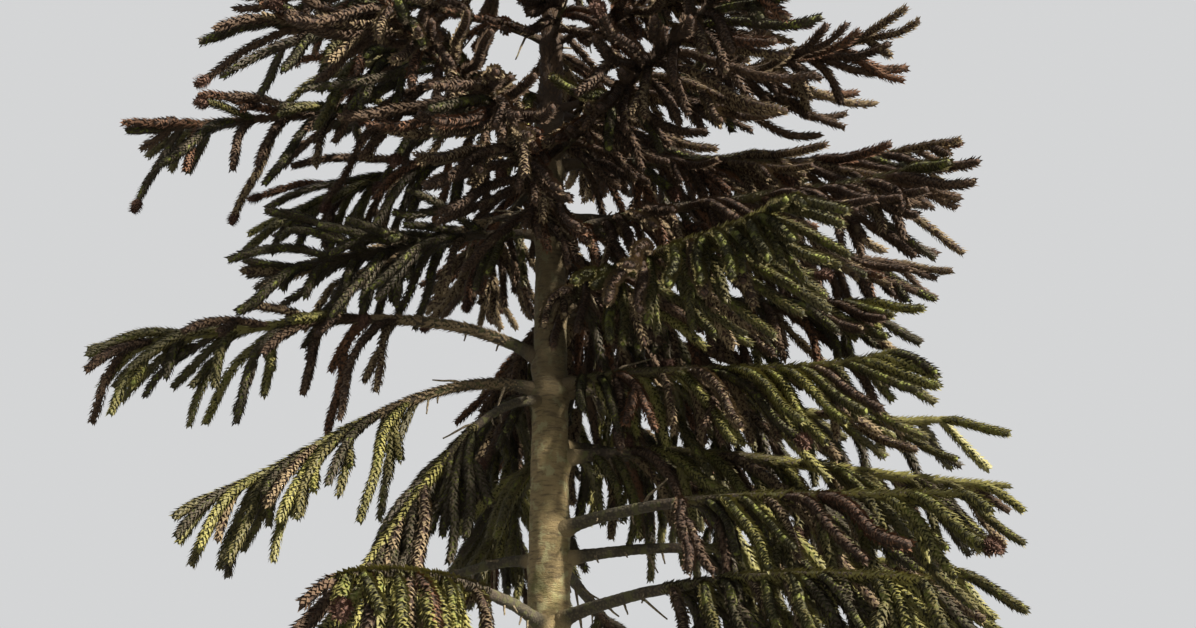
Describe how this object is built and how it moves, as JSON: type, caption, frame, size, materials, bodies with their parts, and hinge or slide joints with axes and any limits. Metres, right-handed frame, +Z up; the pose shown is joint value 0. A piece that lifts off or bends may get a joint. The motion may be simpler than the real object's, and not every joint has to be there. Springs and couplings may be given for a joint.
{
  "type": "monkey puzzle tree",
  "caption": "Whole monkey puzzle tree: tapering trunk with a flared foot, whorls of long limbs and rope-like leafy shoots, brown above and green below.",
  "frame": {"origin": "centre of the flat cut under the trunk, at ground level", "axes": "+Z up along the trunk; +X to the right and +Y away from someone who looks at the tree's front"},
  "size_m": [7.5445, 6.869, 11.3402],
  "materials": {
    "bark": "grey-tan conifer bark with fine level wrinkles",
    "green_foliage": "stiff waxy scale leaves, moss green to yellow-green",
    "mixed_foliage": "stiff scale leaves, olive green going brown",
    "brown_foliage": "dry withered scale leaves, umber to russet"
  },
  "bodies": {
    "root": {"bough_01_1": "bark", "bough_01_2": "bark", "bough_02_1": "bark", "bough_02_2": "bark", "bough_03_1": "bark", "bough_03_2": "bark", "bough_04_1": "bark", "bough_04_2": "bark", "bough_06_1": "bark", "bough_07_1": "bark", "bough_08_1": "bark", "foliage_01_1": "green_foliage", "foliage_01_2": "green_foliage", "foliage_02_1": "green_foliage", "foliage_02_2": "green_foliage", "foliage_03_1": "green_foliage", "foliage_03_2": "green_foliage", "foliage_04_1": "mixed_foliage", "foliage_04_2": "mixed_foliage", "foliage_05_1": "green_foliage", "foliage_05_2": "green_foliage", "foliage_05_3": "green_foliage", "foliage_06_1": "green_foliage", "foliage_07_1": "green_foliage", "foliage_08_1": "green_foliage", "foliage_09_1": "green_foliage", "foliage_09_2": "green_foliage", "foliage_09_3": "green_foliage", "foliage_09_4": "green_foliage", "foliage_10_1": "mixed_foliage", "foliage_10_2": "mixed_foliage", "foliage_10_3": "mixed_foliage", "foliage_10_4": "mixed_foliage", "foliage_11_1": "mixed_foliage", "foliage_11_2": "mixed_foliage", "foliage_12_1": "brown_foliage", "foliage_12_2": "brown_foliage", "foliage_12_3": "brown_foliage", "foliage_12_4": "brown_foliage", "foliage_13_1": "brown_foliage", "foliage_13_2": "brown_foliage", "foliage_13_3": "brown_foliage", "foliage_13_4": "brown_foliage", "foliage_14_1": "mixed_foliage", "foliage_14_2": "mixed_foliage", "foliage_14_3": "mixed_foliage", "foliage_15_1": "brown_foliage", "foliage_15_2": "brown_foliage", "foliage_16_1": "brown_foliage", "foliage_16_2": "brown_foliage", "foliage_16_3": "brown_foliage", "foliage_16_4": "brown_foliage", "foliage_17_1": "brown_foliage", "foliage_17_2": "brown_foliage", "foliage_17_3": "brown_foliage", "foliage_18_1": "brown_foliage", "foliage_18_2": "brown_foliage", "foliage_18_3": "brown_foliage", "foliage_leader": "brown_foliage", "trunk": "bark"}
  },
  "joints": []
}
